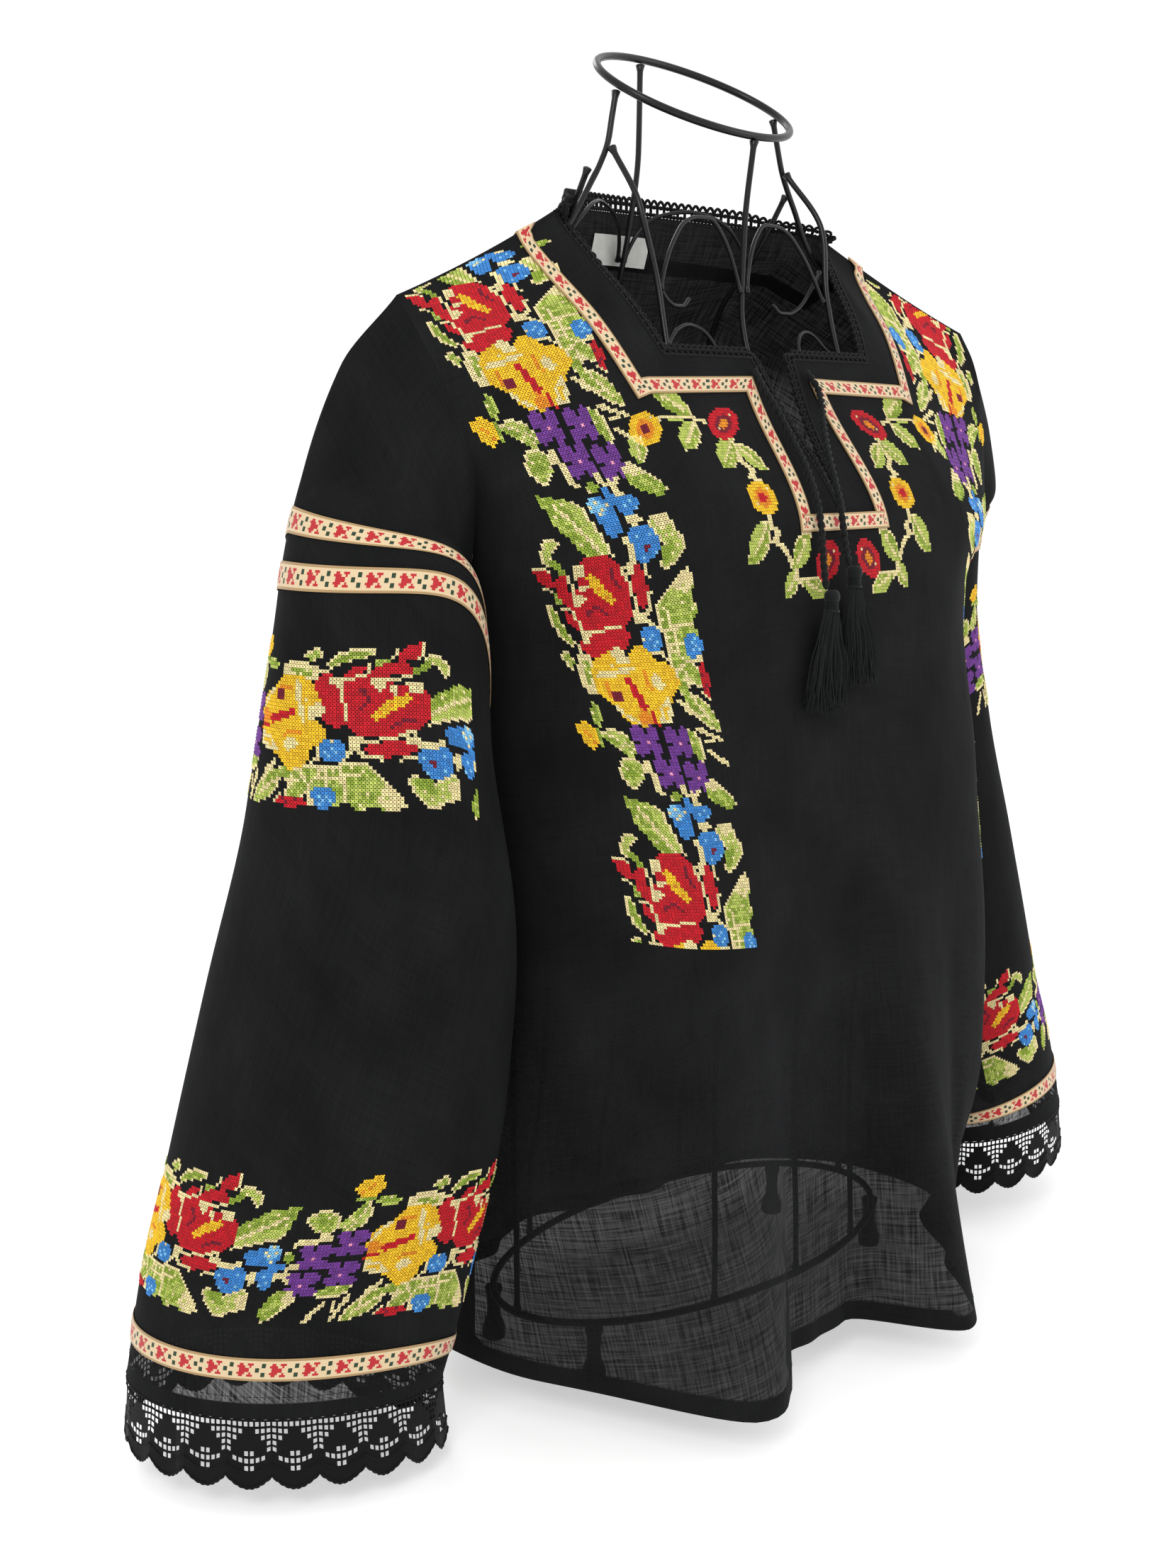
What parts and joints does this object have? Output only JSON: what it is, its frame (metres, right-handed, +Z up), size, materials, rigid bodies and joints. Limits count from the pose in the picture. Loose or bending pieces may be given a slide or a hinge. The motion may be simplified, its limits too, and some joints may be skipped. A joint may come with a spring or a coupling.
{
  "type": "folk blouse on a wire dress form",
  "caption": "Black folk blouse with wide sleeves, square slit neckline, woven ribbon bands, lace cuffs and tasselled ties, on a standing scroll-wire dress form.",
  "frame": {"origin": "on the floor, under the middle of the whole object's bounding box", "axes": "+Z up, -Y the way the blouse faces, -X the wearer's right"},
  "size_m": [0.7316, 0.303, 0.751],
  "materials": {
    "cloth": "matte thin woven cotton, black",
    "ribbon": "woven cream ribbon",
    "lace": "black cotton crochet",
    "cord": "black twisted cotton cord",
    "label": "off-white woven tape",
    "wire": "black semi-gloss enamel on steel wire"
  },
  "bodies": {
    "root": {"arm_ribbon_lower_left": "ribbon", "arm_ribbon_lower_right": "ribbon", "arm_ribbon_upper_left": "ribbon", "arm_ribbon_upper_right": "ribbon", "back": "cloth", "cuff_lace_left": "lace", "cuff_lace_right": "lace", "cuff_ribbon_left": "ribbon", "cuff_ribbon_right": "ribbon", "form_back_arch_left": "wire", "form_back_arch_right": "wire", "form_back_middle": "wire", "form_back_rib_left": "wire", "form_back_rib_right": "wire", "form_foot_150": "wire", "form_foot_210": "wire", "form_foot_30": "wire", "form_foot_330": "wire", "form_front_arch_left": "wire", "form_front_arch_right": "wire", "form_front_middle": "wire", "form_front_rib_left": "wire", "form_front_rib_right": "wire", "form_hoop": "wire", "form_leaf_left": "wire", "form_leaf_right": "wire", "form_low_arch_left": "wire", "form_low_arch_right": "wire", "form_neck_ring": "wire", "form_shoulder_left": "wire", "form_shoulder_right": "wire", "form_side_rib_left": "wire", "form_side_rib_right": "wire", "front": "cloth", "label": "label", "neck_lace": "lace", "neck_ribbon": "ribbon", "sleeve_left": "cloth", "sleeve_right": "cloth", "tassel_left": "cord", "tassel_right": "cord", "tie_cord_left": "cord", "tie_cord_right": "cord"}
  },
  "joints": []
}
